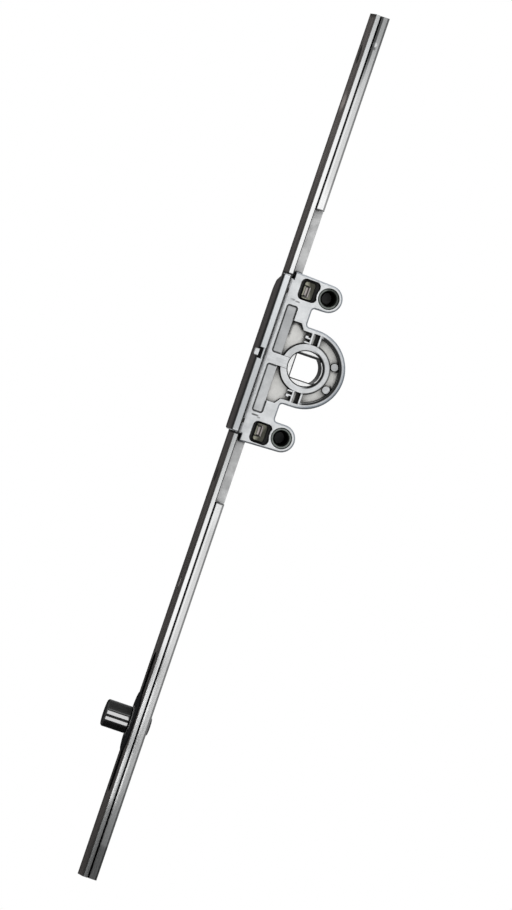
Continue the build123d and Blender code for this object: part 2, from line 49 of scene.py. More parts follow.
VIEW_AZIMUTH = radians(-6.1)
STRIP_LEAN = radians(18.81)
PHOTO_WIDTH, PHOTO_HEIGHT = 512, 910
PIXELS_PER_MM = 3.42
STRIP_MIDDLE_PIXEL = (234.25, 446.75)
SPINDLE_PIXELS_ALONG = 96.5
SPINDLE_PIXELS_ACROSS = 39.8
CAMERA_DISTANCE = 6.5
CLIP_NEAR, CLIP_FAR = 0.5, 40


def place_camera():
    """A long lens square to the rail's length, rolled so that the strip leans as in the photograph."""
    right = Vector((cos(VIEW_AZIMUTH), sin(VIEW_AZIMUTH), 0))
    back = Vector((sin(VIEW_AZIMUTH), -cos(VIEW_AZIMUTH), 0))
    up = Vector((0, 0, 1))
    off_x = PHOTO_WIDTH / 2 - STRIP_MIDDLE_PIXEL[0]
    off_y = PHOTO_HEIGHT / 2 - STRIP_MIDDLE_PIXEL[1]
    across = off_x * cos(STRIP_LEAN) + off_y * sin(STRIP_LEAN)
    along = -off_x * sin(STRIP_LEAN) + off_y * cos(STRIP_LEAN)
    target = right * (across - SPINDLE_PIXELS_ACROSS) - up * (along + SPINDLE_PIXELS_ALONG)
    target *= MM / PIXELS_PER_MM
    image_right = right * cos(STRIP_LEAN) + up * sin(STRIP_LEAN)
    image_up = up * cos(STRIP_LEAN) - right * sin(STRIP_LEAN)
    data = bpy.data.cameras.new("camera")
    data.sensor_fit = "AUTO"
    data.sensor_width = 36
    data.lens = data.sensor_width * CAMERA_DISTANCE / (PHOTO_HEIGHT / PIXELS_PER_MM * MM)
    data.clip_start, data.clip_end = CLIP_NEAR, CLIP_FAR
    camera = bpy.data.objects.new("camera", data)
    turn = Matrix((image_right, image_up, back)).transposed()
    camera.matrix_world = Matrix.Translation(target + back * CAMERA_DISTANCE) @ turn.to_4x4()
    bpy.context.scene.collection.objects.link(camera)
    bpy.context.scene.camera = camera


place_camera()


# Shader maths


class Value:
    """A value or colour from one socket. Arithmetic on values adds Math nodes."""

    def __init__(self, owner, socket):
        self.owner = owner
        self.socket = socket

    def __add__(self, other):
        return self.owner.maths("ADD", self, other)

    def __sub__(self, other):
        return self.owner.maths("SUBTRACT", self, other)

    def __rsub__(self, other):
        return self.owner.maths("SUBTRACT", other, self)

    def __mul__(self, other):
        return self.owner.maths("MULTIPLY", self, other)

    def __truediv__(self, other):
        return self.owner.maths("DIVIDE", self, other)

    def __pow__(self, other):
        return self.owner.maths("POWER", self, other)

    def __abs__(self):
        return self.owner.maths("ABSOLUTE", self)

    __radd__ = __add__
    __rmul__ = __mul__

    def least(self, other):
        return self.owner.maths("MINIMUM", self, other)

    def most(self, *others):
        largest = self
        for other in others:
            largest = self.owner.maths("MAXIMUM", largest, other)
        return largest

    def clamp(self):
        return self.least(1.0).most(0.0)

    def step(self, at_none, at_full):
        """0 from one value on and 1 from the other on, with an even change between, in either direction."""
        return ((self - at_none) / (at_full - at_none)).clamp()

    def line(self, half_width, soft=0.12):
        """1 along the line where a distance is 0."""
        return abs(self).step(half_width + soft, half_width - soft)

    def band(self, low, high, soft=0.05):
        """1 between two places, with soft ends."""
        return (self - (low + high) / 2).line((high - low) / 2, soft)


class Nodes:
    """A node tree, with methods that add to it."""

    def __init__(self, tree):
        self.tree = tree

    def feed(self, socket, value):
        """Links a value to a socket, or sets the socket to a number or colour."""
        if isinstance(value, Value):
            self.tree.links.new(value.socket, socket)
        elif isinstance(value, tuple) and len(value) == 3 and socket.type == "RGBA":
            socket.default_value = (*value, 1.0)
        else:
            socket.default_value = value

    def node(self, kind, inputs=None, settings=None, stops=None, out=0):
        """Any node, with its settings first and then the values or links of its sockets."""
        made = self.tree.nodes.new(kind)
        for name, value in (settings or {}).items():
            setattr(made, name, value)
        if stops:
            elements = made.color_ramp.elements
            while len(elements) < len(stops):
                elements.new(1.0)
            for element, (position, grey) in zip(elements, stops):
                element.position = position
                element.color = (grey, grey, grey, 1)
        for name, value in (inputs or {}).items():
            self.feed(made.inputs[name], value)
        return Value(self, made.outputs[out])

    def maths(self, operation, first, second=None):
        inputs = {0: first} if second is None else {0: first, 1: second}
        return self.node("ShaderNodeMath", inputs, {"operation": operation})

    def vector_maths(self, operation, inputs, out=0):
        return self.node("ShaderNodeVectorMath", inputs, {"operation": operation}, out=out)

    def mix(self, factor, first, second):
        """One colour at factor 0 and the other at factor 1."""
        settings = {"data_type": "RGBA", "clamp_factor": True}
        return self.node("ShaderNodeMix", {0: factor, 6: first, 7: second}, settings, out=2)

    def tint(self, colour, value):
        """A colour made lighter or darker by a value."""
        combined = self.node("ShaderNodeCombineXYZ", {0: value, 1: value, 2: value})
        return self.vector_maths("MULTIPLY", {0: colour, 1: combined})

    def axis(self, vector, letter):
        """One part of a vector."""
        return self.node("ShaderNodeSeparateXYZ", {0: vector}, out=letter)


class Finish(Nodes):
    """A material, with a method for each kind of pattern that the finishes share. Its x, y and z are the
    place on the piece in millimetres."""

    SQUARED_LEAN = 0.12
    EDGE_WEAR_GAIN = 6.0
    BEVEL_SAMPLES = 6
    HOLLOW_SAMPLES = 8

    def __init__(self, name, **constants):
        self.material = bpy.data.materials.new(name)
        self.material.use_nodes = True
        super().__init__(self.material.node_tree)
        self.shader = self.tree.nodes["Principled BSDF"]
        for socket, value in constants.items():
            self.shader.inputs[socket.replace("_", " ")].default_value = value
        self.place = self.node("ShaderNodeTexCoord", out="Object")
        self.x, self.y, self.z = (self.axis(self.place, letter) / MM for letter in "XYZ")
        self.normal = self.node("ShaderNodeNewGeometry", out="Normal")

    def noise(self, grain_mm, detail=3.0, stretch=(1, 1, 1), roughness=0.5):
        """Cloudy noise whose grain is this many millimetres, drawn out by stretch along each axis."""
        scale = tuple(1 / factor for factor in stretch)
        moved = self.node("ShaderNodeMapping", {"Vector": self.place, "Scale": scale})
        inputs = {"Vector": moved, "Scale": 1 / (grain_mm * MM), "Detail": detail, "Roughness": roughness}
        return self.node("ShaderNodeTexNoise", inputs)

    def bump(self, height, depth_mm, strength, normal):
        """A normal bumped by a height whose 1 is this many millimetres."""
        inputs = {"Height": height, "Distance": depth_mm * MM, "Strength": strength, "Normal": normal}
        return self.node("ShaderNodeBump", inputs, out="Normal")

    def soft_edges(self, radius_mm):
        """The surface normal with its sharp edges rounded."""
        return self.node("ShaderNodeBevel", {"Radius": radius_mm * MM}, {"samples": self.BEVEL_SAMPLES})

    def squared(self, normal):
        """A normal with hardly any lean along X, as on a side that is drawn flat up to its corners."""
        flatter = self.vector_maths("MULTIPLY", {0: normal, 1: (self.SQUARED_LEAN, 1, 1)})
        return self.vector_maths("NORMALIZE", {0: flatter})

    def edge_wear(self, rounded):
        """1 along sharp edges and 0 away from them."""
        same = self.vector_maths("DOT_PRODUCT", {0: rounded, 1: self.normal}, out="Value")
        return ((1 - same) * self.EDGE_WEAR_GAIN).clamp()

    def hollow(self, reach_mm):
        """1 in tight corners and 0 on open faces, from ambient occlusion; the finishes paint shade with it.
        """
        settings = {"samples": self.HOLLOW_SAMPLES}
        open_share = self.node("ShaderNodeAmbientOcclusion", {"Distance": reach_mm * MM}, settings, out="AO")
        return 1 - open_share

    def facing(self, letter):
        """How squarely a face looks along an axis, signed."""
        return self.axis(self.normal, letter)

    def spot(self, x, y, z, radius):
        """A soft round spot: 1 at its middle and 0 beyond its radius."""
        reach = self.vector_maths("DISTANCE", {0: self.place, 1: (x * MM, y * MM, z * MM)}, out="Value")
        return (1 - reach / (radius * MM)).clamp()

    def round_axis(self, x, z, mirrored=False):
        """The distance from an axis along Y, or from the nearer one of a pair above and below the spindle."""
        across = self.x - x
        along = (abs(self.z) if mirrored else self.z) - z
        return (across * across + along * along) ** 0.5

    def box_edge(self, x_from, x_to, z_from, z_to, corner):
        """The signed distance from a rounded rectangle in X and in the size of Z."""
        across = abs(self.x - (x_from + x_to) / 2) - ((x_to - x_from) / 2 - corner)
        along = abs(abs(self.z) - (z_from + z_to) / 2) - ((z_to - z_from) / 2 - corner)
        outside = (across.most(0) * across.most(0) + along.most(0) * along.most(0)) ** 0.5
        return outside + across.most(along).least(0) - corner

    def dress(self, colour, roughness, normal, metallic=None):
        """Joins the finished patterns to the shader."""
        self.feed(self.shader.inputs["Base Color"], colour)
        self.feed(self.shader.inputs["Roughness"], roughness)
        self.feed(self.shader.inputs["Normal"], normal)
        if metallic is not None:
            self.feed(self.shader.inputs["Metallic"], metallic)

    def put_on(self, item):
        """Gives the material to an object, in place of what it has."""
        item.data.materials.clear()
        item.data.materials.append(self.material)


# Places that the patterns follow, in millimetres


def ends(node, letter):
    """Where a node begins and ends along an axis."""
    low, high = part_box(node)
    return getattr(low, letter) / MM, getattr(high, letter) / MM


# A fade has the place where it begins and the place where it is full. A box has its X from and to, its
# size of Z from and to, and its corner radius. A pad has an X and a Z, and a rail mark a height and a
# radius. A dash has a height, its X from and to, and how dark it is.

SCREW_Z = 21.5
SCREW_SEAT_FADE_RADII = (2.9, 2.7)
SLEEVE_LIP_RADIUS = 2.66
SLEEVE_BORE_FADE_RADII = (2.4, 2.24)
SLEEVE_RIM_FADE_RADII = (2.86, 3.06)

CASE_FACE_Y = -ends("case_near_half", "y")[0]
CASE_FRONT_X = -11.6
CASE_FRONT_REBATE_X = (-13, -11.5)
CASE_SHOULDER_Z = 23.8
BRIDGE_HALF_HEIGHT = 1.6
BRIDGE_END_X = -5.4
BORE_RADIUS = 5.5
COLLAR_RADIUS = 7.4
CRESCENT_RADIUS = 10.35
RIM_FADE_RADII = (10.75, 11.2)
RIB_MIDDLE_Z, RIB_HALF_HEIGHT = 9.0, 1.6
RIB_X, RIB_POCKET_X = (-0.95, 0.0), (0.1, 1.2)
PAD_PLACES = ((8.15, 3.1), (7.9, -3.95))
PAD_RING_RADIUS, PAD_SHADOW_RADIUS = 1.28, 1.5
PANEL_BOX = (-11.1, -7.6, 1.62, 16.5, 0.9)
WELL_FRONT_X, WELL_TOP_Z = -8.2, 12.45
RIVET_POCKET_BOX = (-9.2, -3.3, 18.75, 25.15, 1.5)
RIVET_END_BOX = (-7.95, -6.45, 20.05, 22.95, 0.2)
HIDDEN_RIVET_FADE_X = (-11.9, -12.0)
HIDDEN_RIVET_FADE_Z = (25.0, 24.8)
DASHES = (
    (18.0, -10.8, -9.4, 0.9),
    (17.8, -9.1, -7.8, 0.7),
    (-17.4, -10.6, -8.6, 0.9),
    (-17.9, -8.8, -7.9, 0.6),
)

SPINDLE_BOX = (-3.6, 3.6, -3.6, 3.6, 0.3)
SPRING_RELIEF_RADIUS = 5.1
JOURNAL_RIM_RADIUS = 5.19

RAIL_FACE_X = ends("front_rail", "x")[0]
RAIL_TOP_Z = ends("front_rail", "z")[1]
RAIL_MARKS = ((92.1, 3.2), (-37.6, 2.4), (-70.9, 2.2))
RAIL_SLOT_SIDE_Y = 7.0
RAIL_WARM_FADE_Z = (20, 70)
RAIL_EDGE_FADE_Y = (3.0, 6.5)
RAIL_FAR_EDGE_FADE_Y = (1.5, 6.0)
RAIL_LOWER_SIDE_FADE_X = (-13.3, -12.6)
RAIL_LOWER_SIDE_FADE_Z = (-100, -150)
RAIL_NOTCH_Z = (-1.2, 1.75)

CAP_BACK_X = ends("gearbox_cap", "x")[1]
CAP_BOTTOM_Z, CAP_TOP_Z = ends("gearbox_cap", "z")
CAP_NEAR_EDGE_FADE_Y = (-3.0, -6.4)
CAP_NEAR_CORNER_FADE_X = (-14.72, -14.95)
CAP_NEAR_CORNER_FADE_Y = (-8.0, -8.2)
CAP_FAR_EDGE_FADE_Y = (4.0, 8.0)
CAP_NOTCH_Z = (-1.4, 2.0)
CAP_NOTCH_FADE_Y = (-8.6, -8.8)
NOTCH_FLOOR_FADE_X = (-13.6, -13.8)
PIP_FADE_X = (-14.8, -14.3)

ROD_NEAR_SIDE_Y, ROD_FAR_SIDE_Y = ends("drive_rod_upper", "y")
ROD_START_Z = ends("drive_rod_upper", "z")[0]
ROD_TOP_BEND_FADE_Z = (80, 92)
ROD_TOP_SIDE_FADE_Z = (85, 98)
ROD_BOTTOM_SIDE_FADE_Z = (-150.6, -151.4)
ROD_REAR_FADE_X = (-10.2, -10.05)
SPECK_X, SPECK_Z, SPECK_RADIUS = -11.3, 96.2, 0.9
SPECK_SHADOW_X, SPECK_SHADOW_Z, SPECK_SHADOW_RADIUS = -11.2, 95.0, 0.7


# Cast zinc

# Black for painted shade in corners, gaps and shadows, and for pits and stamped dashes.
SHADE_AND_MARK_BLACK = (0.010, 0.010, 0.010)
WORN_CORNER = (0.86, 0.87, 0.88)
WELL_FLOOR = (0.82, 0.81, 0.785)
# Painted shade for sloped outer faces and for the round rim.
SLOPE_SHADE = (0.50, 0.53, 0.57)
RIM_SHADE = (0.29, 0.32, 0.36)


def cast_zinc(name, light, dull, shine=0.36, metal=0.85, details=None):
    """Pressure-cast zinc with a sandy skin, whose corners and narrow gaps are dark. The details of a single
    piece come last."""
    finish = Finish(name)
    rounded = finish.soft_edges(0.14)
    cloud = finish.noise(3.2, 4.0)
    sand = finish.noise(0.16, 2.0, roughness=0.7)
    flow = finish.noise(1.3, 5.0, (2.2, 1, 1))
    blot = finish.noise(0.7, 3.0, roughness=0.65)
    worn = finish.edge_wear(rounded)
    front = finish.x.step(CASE_FRONT_X + 0.1, CASE_FRONT_X - 0.1)
    rounded = finish.mix(front, rounded, finish.squared(rounded))
    # Painted shade: tight corners and narrow gaps, found by ambient occlusion, darken towards black.
    corner = finish.hollow(0.6).step(0.14, 0.42)
    gap = finish.hollow(2.6).step(0.42, 0.78)
    flat = abs(finish.facing("Y")).step(0.5, 0.9)
    colour = finish.mix(cloud.step(0.35, 0.68), light, dull)
    colour = finish.tint(colour, 0.84 + flow * 0.16 + blot * 0.16)
    colour = finish.mix(worn * (1 - gap) * 0.4, colour, WORN_CORNER)
    dark = corner.most(gap)
    if details:
        colour, dark = details(finish, colour, dark, flat)
    colour = finish.mix(dark, colour, SHADE_AND_MARK_BLACK)
    roughness = shine + sand * 0.12 + blot * 0.1 + corner * 0.2
    normal = finish.bump(sand * 0.6 + flow * 0.4, 0.02, 0.8, rounded)
    finish.dress(colour, roughness, normal, metal + dark * (1 - metal))
    return finish


def case_colours(finish, colour, flat, depth, streak):
    """Dull panels, pale well floors, a streaky bridge, and painted shade: grey outer slopes and a blue-grey
    rim.
    """
    x, z = finish.x, finish.z
    panel = depth.step(0.12, 0.32) * flat
    floor = depth.step(0.8, 1.4) * flat
    squareness = abs(finish.facing("Y"))
    # Painted shade: faces that slope between the broad face and the sides take a grey.
    slope = squareness.step(0.3, 0.6) * squareness.step(0.95, 0.8)
    slope = slope * x.step(CASE_FRONT_X - 0.2, CASE_FRONT_X - 0.05)
    bridge = z.band(-BRIDGE_HALF_HEIGHT, BRIDGE_HALF_HEIGHT) * x.band(CASE_FRONT_X, BRIDGE_END_X) * flat
    # Painted shade on the round rim away from the rail, heaviest at the bottom.
    rim = finish.round_axis(0, 0).step(*RIM_FADE_RADII) * x.step(-1, 4) * abs(z).step(17, 16)
    rim = rim * (0.9 - z.step(-2, 6) * 0.5) * (0.6 + streak * 0.7)
    colour = finish.mix(panel, colour, finish.tint(colour, 0.84 - z.step(0, 1) * 0.2))
    colour = finish.mix(floor, colour, finish.tint(WELL_FLOOR, 0.84 + finish.noise(0.9, 4.0) * 0.22))
    colour = finish.mix(slope, colour, SLOPE_SHADE)
    colour = finish.mix(bridge, colour, finish.tint(colour, 0.72 + streak * 0.5))
    return finish.mix(rim, colour, finish.tint(RIM_SHADE, 0.6 + streak * 0.8))


def round_end_shadows(finish, flat, in_well):
    """Painted shadows: black lines round the bore and the collar, and a thicker one along the crescent's
    outer wall.
    """
    x = finish.x
    ring = finish.round_axis(0, 0)
    collar = (ring - COLLAR_RADIUS - 0.02).line(0.26) * in_well * 0.95
    collar_wall = (ring - COLLAR_RADIUS).line(0.3) * x.step(0.8, 2.2) * (1 - flat * 0.3)
    crescent_width = 0.32 + finish.z.step(-9, -5) * 0.14
    crescent = (ring - CRESCENT_RADIUS).line(crescent_width) * x.step(1.2, 2.5) * 0.97
    bore = (ring - BORE_RADIUS).line(0.36) * x.step(0.5, 2.5) * 0.97
    return collar.most(collar_wall, crescent, bore)


def panel_shadows(finish, depth, in_well):
    """Painted shadows: black lines round the two long panels and along the upper edge of the upper well."""
    beside_well = finish.x.step(WELL_FRONT_X - 0.1, WELL_FRONT_X + 0.1)
    beside_well = beside_well * abs(finish.z).step(WELL_TOP_Z + 0.05, WELL_TOP_Z - 0.05)
    panel = (finish.box_edge(*PANEL_BOX) + 0.3).line(0.22) * depth.step(0.1, 0.3) * (1 - beside_well) * 0.9
    well_edge_shadow = finish.hollow(1.6).step(0.14, 0.3) * in_well * finish.z.step(6.8, 8.2) * finish.x.band(-8, -2)
    return panel.most(well_edge_shadow * 0.95)


def pad_shadows(finish, in_well):
    """A faint ring of painted shade round each ejector pad, and a painted black shadow on its side away from
    the rail.
    """
    outlines = []
    for x, z in PAD_PLACES:
        reach = finish.round_axis(x, z)
        outlines.append((reach - PAD_RING_RADIUS).line(0.16) * in_well * 0.6)
        shaded_side = (finish.x - x).step(0.2, 1.0)
        outlines.append((reach - PAD_SHADOW_RADIUS).line(0.36) * in_well * shaded_side * 0.95)
    return outlines


def stamped_dashes(finish, streak):
    """Short broken streaks beside the rivet pockets."""
    dashes = []
    for dash_z, x_from, x_to, strength in DASHES:
        dash = (finish.z - dash_z).line(0.24, 0.1) * finish.x.band(x_from, x_to, 0.2)
        dashes.append(dash * strength * streak.step(0.3, 0.55))
    return dashes


def case_details(finish, colour, dark, flat):
    """The case face's colours and dashes, and painted shade: black outlines, walls, pockets, seats and
    corners.
    """
    x, z = finish.x, finish.z
    streak = finish.noise(0.35, 3.0, (14, 1, 1))
    depth = CASE_FACE_Y - abs(finish.y)
    in_well = depth.step(0.5, 0.8)
    colour = case_colours(finish, colour, flat, depth, streak)
    front_slope = x.step(CASE_FRONT_X - 0.05, CASE_FRONT_X - 0.2)
    # Painted shade on the walls of recesses; the front slope is kept clear of shade.
    wall = depth.step(0.02, 0.16) * (1 - flat) * (1 - front_slope) * finish.hollow(2.5).step(0.06, 0.3)
    dark = dark * (1 - front_slope * 0.9)
    dark = dark.most(wall, round_end_shadows(finish, flat, in_well), panel_shadows(finish, depth, in_well))
    between_ribs = (abs(z) - RIB_MIDDLE_Z).line(RIB_HALF_HEIGHT) * in_well
    dark = dark - dark * between_ribs * x.band(*RIB_X, 0.1) * 0.7
    # Painted shade in the rib and rivet pockets, the screw seats and the front corners beyond the shoulder.
    rib_pocket = between_ribs * x.band(*RIB_POCKET_X, 0.1) * 0.95
    rivet_pocket = finish.box_edge(*RIVET_POCKET_BOX).step(0.1, -0.1) * depth.step(0.25, 0.45) * 0.94
    screw_seat = finish.round_axis(0, SCREW_Z, mirrored=True).step(*SCREW_SEAT_FADE_RADII)
    screw_seat = screw_seat * depth.step(0.5, 1.0) * 0.97
    beyond_shoulder = abs(z).step(CASE_SHOULDER_Z - 0.1, CASE_SHOULDER_Z + 0.1)
    front_corner = x.band(*CASE_FRONT_REBATE_X, 0.1) * beyond_shoulder
    pads = pad_shadows(finish, in_well)
    dashes = stamped_dashes(finish, streak)
    return colour, dark.most(rib_pocket, rivet_pocket, screw_seat, *pads, *dashes, front_corner)


def follower_details(finish, colour, dark, flat):
    """Painted shade: black round the square hole, thicker at its top, on the relief's wall and the journal's
    rim.
    """
    hole = finish.box_edge(*SPINDLE_BOX)
    ring = finish.round_axis(0, 0)
    outline = (hole - 0.1).line(0.24, 0.08) * 0.96
    upper_outline = (hole - 0.3).line(0.4) * finish.z.step(2.9, 3.4) * 0.97
    relief = (1 - flat) * finish.x.step(3.55, 3.65)
    relief = relief * ring.step(SPRING_RELIEF_RADIUS, SPRING_RELIEF_RADIUS - 0.04) * 0.98
    rim = ring.step(JOURNAL_RIM_RADIUS - 0.05, JOURNAL_RIM_RADIUS + 0.05) * 0.85
    return colour, (dark * 0.5).most(outline, upper_outline, relief, rim)


def pip_details(finish, colour, dark, flat):
    """The half of the pip that is away from the rail's edge is painted black as shade."""
    return colour, dark.most(finish.x.step(*PIP_FADE_X))


def washer_details(finish, colour, dark, flat):
    """A black line of painted shade round the rivet's flat end, and a painted shadow over the corner away
    from the rail.
    """
    outline = (finish.box_edge(*RIVET_END_BOX) - 0.12).line(0.24) * 0.9
    shade = (finish.x + 7.2 + (abs(finish.z) - SCREW_Z) * 0.35).step(0.7, 1.7) * 0.8
    return colour, (dark * 0.5).most(outline, shade)


# Drawn steel strip

# Painted highlights: the rods' outer bends and a speck near the top.
BEND_HIGHLIGHT = (0.95, 0.95, 0.95)
SPECK_HIGHLIGHT = (1, 1, 1)
STAMPED_STEEL = (0.3, 0.29, 0.28)


def drawn_strip(name, side, face, side_shine=0.2, face_shine=0.42, coat_from=0.45, details=None):
    """Rolled strip: bright sheared sides with lines along the length, and a dull coated face towards -X. The
    details of a single piece come last."""
    finish = Finish(name, Metallic=0.95)
    rounded = finish.soft_edges(0.12)
    lines = finish.noise(0.22, 3.0, (1, 1, 160))
    stain = finish.noise(5.0, 5.0, (1, 1, 3.0))
    pits = finish.noise(0.45, 2.0, (1, 1, 2.0)).step(0.66, 0.74)
    coated = finish.facing("X").step(-coat_from, -coat_from - 0.2)
    side_share = abs(finish.facing("Y")).step(0.3, 0.6)
    edge = finish.edge_wear(rounded)
    rounded = finish.mix(side_share, rounded, finish.squared(rounded))
    side_colour = finish.tint(side, 0.90 + lines * 0.18)
    side_colour = finish.mix(edge * 0.08, side_colour, SHADE_AND_MARK_BLACK)
    face_colour = finish.tint(face, 0.62 + stain * 0.8)
    face_colour = finish.mix((pits * 0.4).most(edge * 0.5), face_colour, SHADE_AND_MARK_BLACK)
    colour = finish.mix(coated, side_colour, face_colour)
    # Painted shade in tight gaps, off the bright sides and the coated face.
    dark = finish.hollow(2.4).step(0.3, 0.6) * (1 - side_share) * (1 - coated) * 0.92
    if details:
        colour, dark = details(finish, colour, dark, coated)
    colour = finish.mix(dark, colour, SHADE_AND_MARK_BLACK)
    roughness = side_shine + lines * 0.1 + coated * (face_shine - side_shine + stain * 0.12)
    height = lines * (1 - coated) + stain * coated * 0.5
    finish.dress(colour, roughness, finish.bump(height, 0.006, 0.5, rounded))
    return finish


def rail_details(finish, colour, dark, coated):
    """The rail's stamped marks, a painted light top, and painted shade: streaky far edge, slot walls, cap
    shadows.
    """
    x, y, z = finish.x, finish.y, finish.z
    bare = 1 - coated
    # Each mark is a dark disc of painted shade with a paler middle.
    for mark_z, radius in RAIL_MARKS:
        mark = finish.spot(RAIL_FACE_X, 0.5, mark_z, radius).step(0.0, 0.2) * coated * 0.85
        middle = finish.spot(RAIL_FACE_X, 0.5, mark_z, radius * 0.45).step(0.0, 0.5)
        dark = dark.most(mark)
        colour = finish.mix(middle, colour, STAMPED_STEEL)
    # Painted light: the coated face is lighter towards the top.
    colour = finish.mix(coated * z.step(*RAIL_WARM_FADE_Z), colour, finish.tint(colour, 1.6))
    # Painted shade along the face's edges and top corner, in streaks on the far edge, on the lower sides and
    # slot walls, behind the cap's flange, at the cap's ends and in the notch.
    both_edges = abs(y).step(*RAIL_EDGE_FADE_Y) * coated * 0.4
    top_corner = coated * z.step(RAIL_TOP_Z - 1.5, RAIL_TOP_Z - 0.5) * 0.7
    streak = finish.noise(1.6, 3.0, (1, 1, 5)).step(0.44, 0.6)
    far_edge = y.step(*RAIL_FAR_EDGE_FADE_Y) * coated * streak * 0.62
    lower_side = x.step(*RAIL_LOWER_SIDE_FADE_X) * z.step(*RAIL_LOWER_SIDE_FADE_Z) * bare * 0.6
    slot_wall = abs(y).step(RAIL_SLOT_SIDE_Y + 0.1, RAIL_SLOT_SIDE_Y - 0.1) * bare
    behind_flange = z.band(CAP_BOTTOM_Z - 0.5, CAP_TOP_Z + 0.4, 0.15)
    behind_flange = behind_flange * x.step(CAP_BACK_X - 0.1, CAP_BACK_X + 0.05) * 0.93
    cap_end = z.band(CAP_TOP_Z - 0.05, CAP_TOP_Z + 0.55, 0.1)
    cap_end = cap_end.most(z.band(CAP_BOTTOM_Z - 0.65, CAP_BOTTOM_Z + 0.05, 0.1)) * 0.96
    notch = z.band(*RAIL_NOTCH_Z, 0.2) * bare * x.step(*NOTCH_FLOOR_FADE_X)
    shadows = dark.most(both_edges, top_corner, far_edge, lower_side, slot_wall)
    return colour, shadows.most(behind_flange, cap_end, notch)


def cap_details(finish, colour, dark, coated):
    """Painted shade on the cap: a black near edge and corner, a darker far edge and a black notch."""
    x, y = finish.x, finish.y
    near_edge = y.step(*CAP_NEAR_EDGE_FADE_Y) * coated * 0.85
    near_corner = x.step(*CAP_NEAR_CORNER_FADE_X) * y.step(*CAP_NEAR_CORNER_FADE_Y) * 0.9
    far_edge = y.step(*CAP_FAR_EDGE_FADE_Y) * coated * 0.4
    notch = finish.z.band(*CAP_NOTCH_Z, 0.06) * y.step(*CAP_NOTCH_FADE_Y) * x.step(*NOTCH_FLOOR_FADE_X)
    return colour, dark.most(near_edge, near_corner, far_edge, notch)


def rod_details(finish, colour, dark, coated):
    """Painted shade and light on the rods: black web, bright outer bends, dull rear corners and ends, cut-end
    shadows.
    """
    x, z = finish.x, finish.z
    bend = finish.facing("X").step(-0.08, -0.3) * (1 - coated)
    top_end = z.step(*ROD_TOP_BEND_FADE_Z)
    from_joint = abs(z) - ROD_START_Z
    # Painted highlight on the outer bends; near the top end the bends take painted shade instead.
    colour = finish.mix(bend * (1 - top_end), colour, BEND_HIGHLIGHT)
    # Painted shade: the sides darken towards both ends.
    colour = finish.tint(colour, 1 - z.step(*ROD_TOP_SIDE_FADE_Z) * 0.22)
    colour = finish.tint(colour, 1 - z.step(*ROD_BOTTOM_SIDE_FADE_Z) * 0.4)
    # A painted highlight speck near the top, with a painted shadow below it.
    speck = finish.spot(SPECK_X, ROD_NEAR_SIDE_Y, SPECK_Z, SPECK_RADIUS).step(0.1, 0.4)
    colour = finish.mix(speck, colour, SPECK_HIGHLIGHT)
    colour = finish.mix((from_joint + 0.15).line(7.0, 3.0), colour, finish.tint(colour, 1.3))
    shadow_below_speck = finish.spot(SPECK_SHADOW_X, ROD_NEAR_SIDE_Y, SPECK_SHADOW_Z, SPECK_SHADOW_RADIUS)
    shadow_below_speck = shadow_below_speck.step(0.1, 0.6) * 0.6
    # Painted shade on the rear corners, on the web in the gap behind the rail, at the cut ends and inside the
    # channel.
    rear = x.step(*ROD_REAR_FADE_X) * 0.68
    joint = (from_joint + 0.05).line(0.45, 0.15) * 0.9
    inside = abs(finish.y).step(ROD_FAR_SIDE_Y - 0.1, ROD_FAR_SIDE_Y - 0.4)
    inner_wall = inside * (1 - abs(finish.facing("X"))) * 0.5
    return colour, dark.most(bend * top_end * 0.8, shadow_below_speck, coated * 0.97, rear, joint, inner_wall)


# Turned steel

# Black for painted shade in hollows.
HOLLOW_SHADE_BLACK = (0.006, 0.007, 0.006)
SLEEVE_LIP = (0.22, 0.24, 0.225)
RING_STRETCH = 60


def turned_steel(name, light, dull, axis, shine=0.3, edge_colour=(0.6, 0.6, 0.6), details=None):
    """Turned or drawn steel with fine rings round one axis. The details of a single piece come last."""
    finish = Finish(name, Metallic=0.95)
    rounded = finish.soft_edges(0.1)
    rings = finish.noise(0.12, 2.0, tuple(1 if letter == axis else RING_STRETCH for letter in "XYZ"))
    cloud = finish.noise(1.6, 4.0)
    worn = finish.edge_wear(rounded)
    squareness = abs(finish.facing(axis))
    slope = (1 - squareness).step(0.1, 0.3) * squareness.step(0.3, 0.6)
    # Painted shade: tight hollows are darkened towards black.
    dark = finish.hollow(1.6).step(0.35, 0.7) * 0.95
    colour = finish.mix(cloud.step(0.3, 0.7), light, dull)
    colour = finish.tint(colour, 0.88 + rings * 0.24)
    colour = finish.mix((worn * 0.4).most(slope * 0.8), colour, edge_colour)
    if details:
        colour, dark = details(finish, colour, dark)
    colour = finish.mix(dark, colour, HOLLOW_SHADE_BLACK)
    finish.dress(colour, shine + rings * 0.14 + cloud * 0.06, finish.bump(rings, 0.008, 0.6, rounded))
    return finish


def rivet_details(finish, colour, dark):
    """Painted shade: a black line round the case rivets' flat ends, and rivets behind the cap's side black
    all over."""
    outline = (finish.box_edge(*RIVET_END_BOX) + 0.05).line(0.24) * 0.9
    hidden = finish.x.step(*HIDDEN_RIVET_FADE_X) * abs(finish.z).step(*HIDDEN_RIVET_FADE_Z) * 0.93
    return colour, dark.most(outline, hidden)


